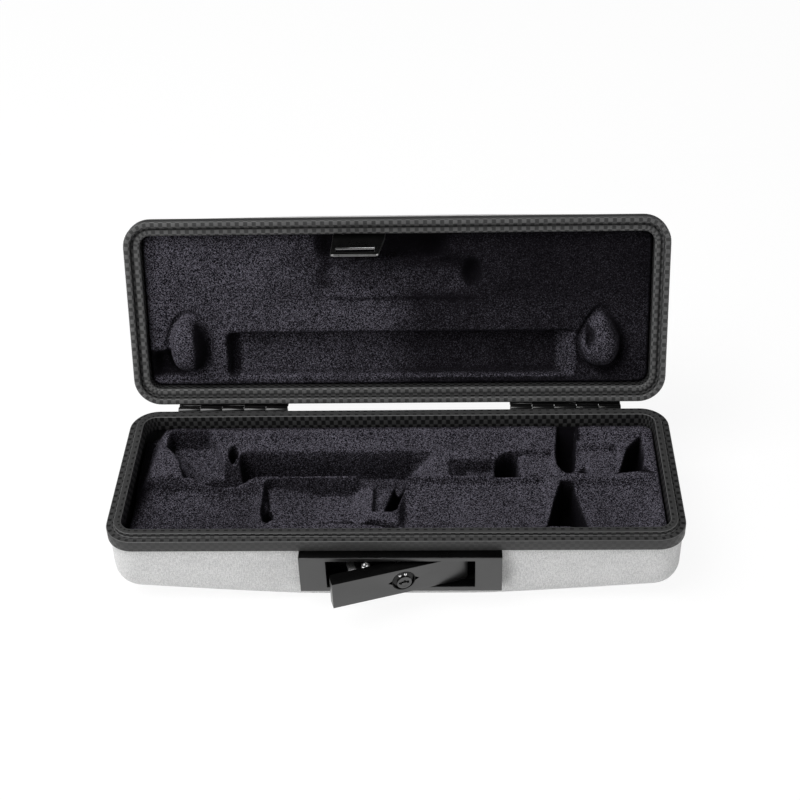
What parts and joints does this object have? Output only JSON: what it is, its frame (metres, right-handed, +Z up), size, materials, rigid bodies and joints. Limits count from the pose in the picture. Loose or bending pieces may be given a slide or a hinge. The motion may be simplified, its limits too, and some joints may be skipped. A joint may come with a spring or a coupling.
{
  "type": "piccolo case",
  "caption": "Small hinged hard case with a shaped velvet tray, moulded rims, woven cover and a rocking latch with a key lock.",
  "frame": {"origin": "middle of the flat patch under the base that the case stands on", "axes": "+X along the case to the right as seen from the latch side, +Y towards the hinges, +Z up"},
  "size_m": [0.24, 0.1498, 0.1172],
  "materials": {
    "fabric": "light grey mottled plain weave",
    "shell": "moulded shell, plain",
    "rim": "dark grey moulding with a fine chequered grain",
    "velvet": "near-black velvet pile with a faint blue cast over foam",
    "black_metal": "satin black",
    "latch_body": "fine matte black, slightly grained",
    "steel": "bright zinc plated"
  },
  "bodies": {
    "base": {"lower_cover": "fabric", "lower_shell": "shell", "lower_rim": "rim", "lower_liner": "velvet", "hinge_left_base_leaf": "black_metal", "hinge_right_base_leaf": "black_metal", "hinge_left_pin": "black_metal", "hinge_right_pin": "black_metal", "hinge_base_rivet_1": "black_metal", "hinge_base_rivet_2": "black_metal", "hinge_base_rivet_3": "black_metal", "hinge_base_rivet_4": "black_metal", "latch_bezel": "latch_body", "latch_housing": "black_metal", "lever_pin": "steel", "latch_screw_1": "steel", "latch_screw_2": "steel"},
    "lid": {"lid_cover": "fabric", "lid_shell": "shell", "lid_rim": "rim", "lid_liner": "velvet", "hinge_left_lid_leaf": "black_metal", "hinge_right_lid_leaf": "black_metal", "hinge_lid_rivet_1": "black_metal", "hinge_lid_rivet_2": "black_metal", "hinge_lid_rivet_3": "black_metal", "hinge_lid_rivet_4": "black_metal", "strike": "black_metal", "strike_screw_1": "black_metal", "strike_screw_2": "black_metal"},
    "lever": {"latch_lever": "latch_body", "lock_bezel": "black_metal", "latch_hook": "steel", "hook_rivet": "steel"},
    "lock": {"lock_cylinder": "black_metal", "lock_cam": "steel", "cam_screw": "steel"}
  },
  "joints": [
    {"name": "lid_hinge", "type": "hinge", "parent": "base", "child": "lid", "pos_m": [0, 0.0449, 0.0344], "axis": [1, 0, 0], "range_deg": [0, 108]},
    {"name": "lever_pivot", "type": "hinge", "parent": "base", "child": "lever", "pos_m": [0.015, -0.04365, 0.021], "axis": [0, 0, -1], "range_deg": [0, 17]},
    {"name": "lock_turn", "type": "hinge", "parent": "lever", "child": "lock", "pos_m": [0.00389, -0.05008, 0.021], "axis": [0.2924, -0.9563, 0], "range_deg": [0, 90]}
  ]
}
